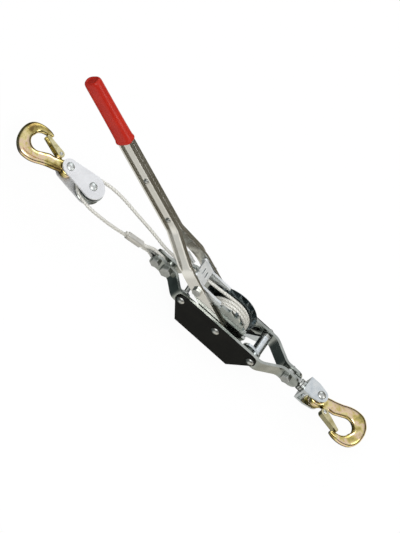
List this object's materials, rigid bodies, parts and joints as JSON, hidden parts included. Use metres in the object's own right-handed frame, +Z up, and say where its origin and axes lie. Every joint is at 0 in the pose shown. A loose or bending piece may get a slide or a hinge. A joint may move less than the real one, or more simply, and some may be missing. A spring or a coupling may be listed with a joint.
{
  "type": "ratchet cable puller",
  "caption": "Hand ratchet cable puller with a forked lever, rope drum, strap frame, load block and two latched hooks.",
  "frame": {"origin": "centre of the anchor hook's bowl, in the hook's middle plane", "axes": "+X from the load hook to the anchor hook, +Y from the near side plate to the far one, +Z up, away from the side plates' lower edges"},
  "size_m": [0.6143, 0.064, 0.2388],
  "materials": {
    "zinc": "bright zinc plate",
    "bolts": "zinc plated",
    "black_paint": "satin black paint",
    "rope_wire": "galvanised wire",
    "blue_zinc": "blue-white zinc",
    "dark_steel": "blackened steel",
    "gold_zinc": "yellow zinc",
    "pale_zinc": "pale zinc",
    "nickel": "bright plated lever steel",
    "red_vinyl": "gloss",
    "bronze": "plain bearing"
  },
  "bodies": {
    "frame": {"near_frame_strap": "zinc", "far_frame_strap": "zinc", "near_side_plate": "black_paint", "far_side_plate": "black_paint", "drum_axle": "bolts", "cross_bolts": "bolts", "frame_nuts": "bolts", "front_lock_nuts": "blue_zinc", "rear_sleeve": "bolts", "nose_clamp_bolt": "bolts", "nose_spacer": "bolts", "rope_bolt": "bolts", "tail_bolt": "bolts", "end_nuts": "bolts", "rope_thimble": "bolts", "rope_ferrule": "rope_wire", "wire_rope_eye": "rope_wire", "wire_rope_run": "rope_wire", "stop_pawl_spring": "bolts"},
    "drum": {"drum_core": "dark_steel", "near_flange": "dark_steel", "far_flange": "dark_steel", "far_guard_disc": "dark_steel", "near_ratchet_gear": "zinc", "far_ratchet_gear": "dark_steel", "wound_rope": "rope_wire"},
    "lever": {"near_lever_half": "nickel", "far_lever_half": "nickel", "lever_rivets": "bolts", "lever_grip": "red_vinyl", "pawl_pivot_bolts": "bolts", "pawl_bushes": "bolts", "drive_pawl_spring": "bolts"},
    "drive_pawl_body": {"drive_pawl": "blue_zinc"},
    "stop_pawl_body": {"stop_pawl": "blue_zinc"},
    "swivel_body": {"swivel_eye_bolt": "bolts"},
    "clevis_body": {"anchor_clevis": "blue_zinc", "swivel_washer": "bolts", "clevis_pin": "bolts"},
    "anchor_hook_body": {"anchor_hook": "gold_zinc", "anchor_latch_pin": "bolts"},
    "anchor_latch_body": {"anchor_latch": "gold_zinc"},
    "load_block": {"upper_block_plate": "pale_zinc", "lower_block_plate": "pale_zinc", "sheave_rivet": "blue_zinc", "hook_rivet": "blue_zinc", "sheave_bush": "bronze", "hook_spacers": "bolts"},
    "sheave_body": {"sheave": "zinc"},
    "load_hook_body": {"load_hook": "gold_zinc", "load_latch_pin": "bolts"},
    "load_latch_body": {"load_latch": "gold_zinc"}
  },
  "joints": [
    {"name": "drum_spin", "type": "hinge", "parent": "frame", "child": "drum", "pos_m": [-0.214, 0.003, 0], "axis": [0, 1, 0], "range_deg": [-1300, 160]},
    {"name": "block_slide", "type": "slide", "parent": "frame", "child": "load_block", "axis": [1, 0, 0], "range_m": [-0.36, 0.045], "deforming": ["wire_rope_run"]},
    {"name": "sheave_spin", "type": "hinge", "parent": "load_block", "child": "sheave_body", "pos_m": [-0.461, 0.003, 0.012], "axis": [0, 0, 1], "range_deg": [-140, 1110]},
    {"name": "lever_swing", "type": "hinge", "parent": "frame", "child": "lever", "pos_m": [-0.214, 0.003, 0], "axis": [0, 1, 0], "range_deg": [-9, 95]},
    {"name": "drive_pawl_turn", "type": "hinge", "parent": "lever", "child": "drive_pawl_body", "pos_m": [-0.26988, 0.003, 0.02909], "axis": [0, -1, 0], "range_deg": [0, 28], "stiffness_Nm_per_rad": 0.02, "springref_deg": -28.65},
    {"name": "stop_pawl_turn", "type": "hinge", "parent": "frame", "child": "stop_pawl_body", "pos_m": [-0.153, 0.003, 0], "axis": [0, -1, 0], "range_deg": [0, 28], "stiffness_Nm_per_rad": 0.02, "springref_deg": -28.65},
    {"name": "anchor_tilt", "type": "hinge", "parent": "frame", "child": "swivel_body", "pos_m": [-0.101, 0.003, 0], "axis": [0, 1, 0], "range_deg": [-35, 35]},
    {"name": "anchor_swivel", "type": "hinge", "parent": "swivel_body", "child": "clevis_body", "pos_m": [-0.077, 0.003, 0], "axis": [1, 0, 0], "continuous": true},
    {"name": "anchor_hook_pivot", "type": "hinge", "parent": "clevis_body", "child": "anchor_hook_body", "pos_m": [-0.051, 0.003, 0], "axis": [0, 0, 1], "range_deg": [-35, 35]},
    {"name": "anchor_latch_turn", "type": "hinge", "parent": "anchor_hook_body", "child": "anchor_latch_body", "pos_m": [-0.033, -0.0075, 0], "axis": [0, 0, 1], "range_deg": [0, 28], "stiffness_Nm_per_rad": 0.01, "springref_deg": -34.38},
    {"name": "load_hook_pivot", "type": "hinge", "parent": "load_block", "child": "load_hook_body", "pos_m": [-0.501, 0.003, 0.012], "axis": [0, 0, 1], "range_deg": [-35, 35]},
    {"name": "load_latch_turn", "type": "hinge", "parent": "load_hook_body", "child": "load_latch_body", "pos_m": [-0.51944, 0.0127, 0.012], "axis": [0, 0, 1], "range_deg": [0, 28], "stiffness_Nm_per_rad": 0.01, "springref_deg": -34.38}
  ],
  "couplings": [
    {"joint": "block_slide", "follows": "drum_spin", "m_per_rad": 0.0151},
    {"joint": "sheave_spin", "follows": "drum_spin", "ratio": -0.82065}
  ]
}
